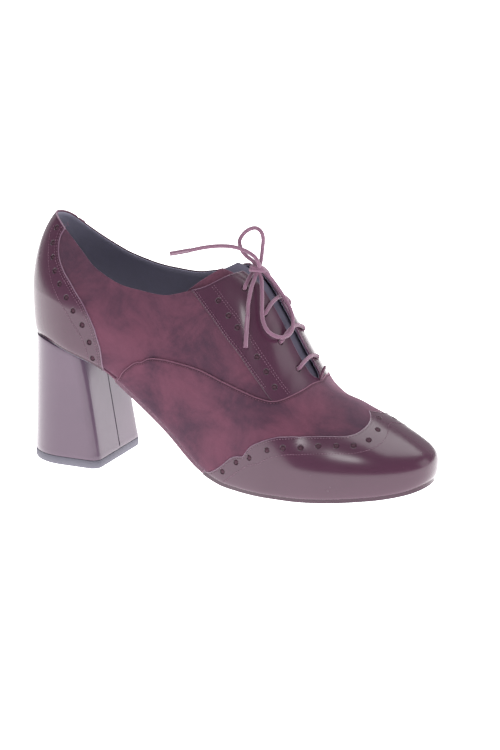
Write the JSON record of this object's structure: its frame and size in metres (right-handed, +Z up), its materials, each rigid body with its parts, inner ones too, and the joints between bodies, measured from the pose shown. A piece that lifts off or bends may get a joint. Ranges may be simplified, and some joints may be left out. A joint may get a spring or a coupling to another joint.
{
  "type": "womens lace-up heeled shoe",
  "caption": "Women's lace-up shoe on a flared block heel, with wingtip toe cap, heel counter, eyelet facings, straight-bar lacing and a small bow.",
  "frame": {"origin": "on the floor, under the middle of the shoe's box, its free laces left out", "axes": "+X towards the toe, +Y towards the medial side, +Z up"},
  "size_m": [0.2374, 0.0772, 0.1418],
  "materials": {
    "suede": "napped, matt, burgundy",
    "gloss_leather": "glossy, burgundy grey",
    "lining": "smooth, slate black",
    "sock": "smooth, black",
    "outsole": "matt, dark grey",
    "top_piece": "matt, dark grey",
    "lace": "waxed round braid, mauve",
    "aglet": "satin wrapped tip",
    "thread": "twisted thread"
  },
  "bodies": {
    "root": {"upper": "suede", "outsole": "outsole", "insole": "sock", "heel": "gloss_leather", "heel_top_piece": "top_piece", "tongue": "lining", "lace_bar_1": "lace", "lace_bar_2": "lace", "lace_bar_3": "lace", "lace_bar_4": "lace", "lace_knot": "lace", "lace_loop_upper": "lace", "lace_loop_lower": "lace", "lace_end_1": "lace", "lace_end_2": "lace", "aglet_1": "aglet", "aglet_2": "aglet"}
  },
  "joints": []
}
